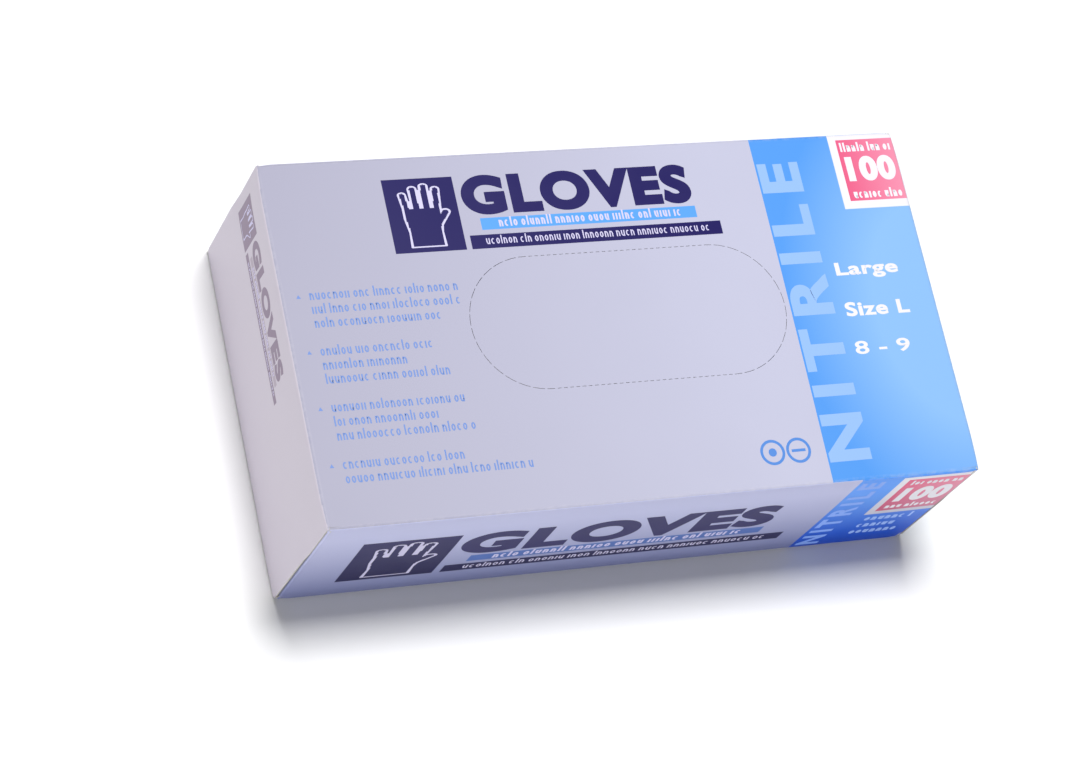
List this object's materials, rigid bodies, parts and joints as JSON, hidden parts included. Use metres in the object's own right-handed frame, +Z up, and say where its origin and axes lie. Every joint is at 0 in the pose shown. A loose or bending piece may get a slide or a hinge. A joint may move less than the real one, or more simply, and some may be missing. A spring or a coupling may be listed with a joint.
{
  "type": "disposable glove dispenser box",
  "caption": "Flat paperboard dispenser carton of disposable gloves, with a perforated oval tear-out in the top face and folded, glued flaps at both ends.",
  "frame": {"origin": "middle of the underside, on the surface that the box lies on", "axes": "+X along the long side towards the end with the coloured band, +Y from the front long side to the back long side, +Z up through the oval cover"},
  "size_m": [0.24, 0.131, 0.069],
  "materials": {
    "printed_board": "satin",
    "plain_board": "matte",
    "board_core": "matte",
    "glue": "satin",
    "nitrile": "matte"
  },
  "bodies": {
    "carton": {"top_panel": "printed_board", "front_panel": "printed_board", "bottom_panel": "printed_board", "back_panel": "printed_board", "seam_flap": "plain_board", "seam_glue": "glue", "glove_layer_01": "nitrile", "glove_layer_02": "nitrile", "glove_layer_03": "nitrile", "glove_layer_04": "nitrile", "glove_layer_05": "nitrile", "glove_layer_06": "nitrile", "glove_layer_07": "nitrile", "glove_layer_08": "nitrile", "glove_layer_09": "nitrile", "glove_layer_10": "nitrile"},
    "tear_out_cover": {"tear_out_cover": "printed_board", "perforation_ties": "board_core"},
    "left_outer_flap": {"left_outer_flap": "printed_board", "left_end_glue": "glue"},
    "left_inner_flap": {"left_inner_flap": "plain_board"},
    "left_front_dust_flap": {"left_front_dust_flap": "plain_board"},
    "left_back_dust_flap": {"left_back_dust_flap": "plain_board"},
    "right_outer_flap": {"right_outer_flap": "printed_board", "right_end_glue": "glue"},
    "right_inner_flap": {"right_inner_flap": "plain_board"},
    "right_front_dust_flap": {"right_front_dust_flap": "plain_board"},
    "right_back_dust_flap": {"right_back_dust_flap": "plain_board"}
  },
  "joints": [
    {"name": "cover_lift", "type": "slide", "parent": "carton", "child": "tear_out_cover", "axis": [0, 0, 1], "range_m": [0, 0.12]},
    {"name": "left_outer_fold", "type": "hinge", "parent": "carton", "child": "left_outer_flap", "pos_m": [-0.12, 0, 0.069], "axis": [0, 1, 0], "range_deg": [0, 150]},
    {"name": "left_inner_fold", "type": "hinge", "parent": "carton", "child": "left_inner_flap", "pos_m": [-0.11935, 0, 0], "axis": [0, -1, 0], "range_deg": [0, 90]},
    {"name": "left_front_dust_fold", "type": "hinge", "parent": "carton", "child": "left_front_dust_flap", "pos_m": [-0.1187, -0.0655, 0], "axis": [0, 0, 1], "range_deg": [0, 22.5]},
    {"name": "left_back_dust_fold", "type": "hinge", "parent": "carton", "child": "left_back_dust_flap", "pos_m": [-0.1187, 0.0655, 0], "axis": [0, 0, -1], "range_deg": [0, 22.5]},
    {"name": "right_outer_fold", "type": "hinge", "parent": "carton", "child": "right_outer_flap", "pos_m": [0.12, 0, 0.069], "axis": [0, -1, 0], "range_deg": [0, 150]},
    {"name": "right_inner_fold", "type": "hinge", "parent": "carton", "child": "right_inner_flap", "pos_m": [0.11935, 0, 0], "axis": [0, 1, 0], "range_deg": [0, 90]},
    {"name": "right_front_dust_fold", "type": "hinge", "parent": "carton", "child": "right_front_dust_flap", "pos_m": [0.1187, -0.0655, 0], "axis": [0, 0, -1], "range_deg": [0, 22.5]},
    {"name": "right_back_dust_fold", "type": "hinge", "parent": "carton", "child": "right_back_dust_flap", "pos_m": [0.1187, 0.0655, 0], "axis": [0, 0, 1], "range_deg": [0, 22.5]}
  ],
  "couplings": [
    {"joint": "left_inner_fold", "follows": "left_outer_fold", "ratio": 0.6},
    {"joint": "left_front_dust_fold", "follows": "left_outer_fold", "ratio": 0.15},
    {"joint": "left_back_dust_fold", "follows": "left_outer_fold", "ratio": 0.15},
    {"joint": "right_inner_fold", "follows": "right_outer_fold", "ratio": 0.6},
    {"joint": "right_front_dust_fold", "follows": "right_outer_fold", "ratio": 0.15},
    {"joint": "right_back_dust_fold", "follows": "right_outer_fold", "ratio": 0.15}
  ]
}
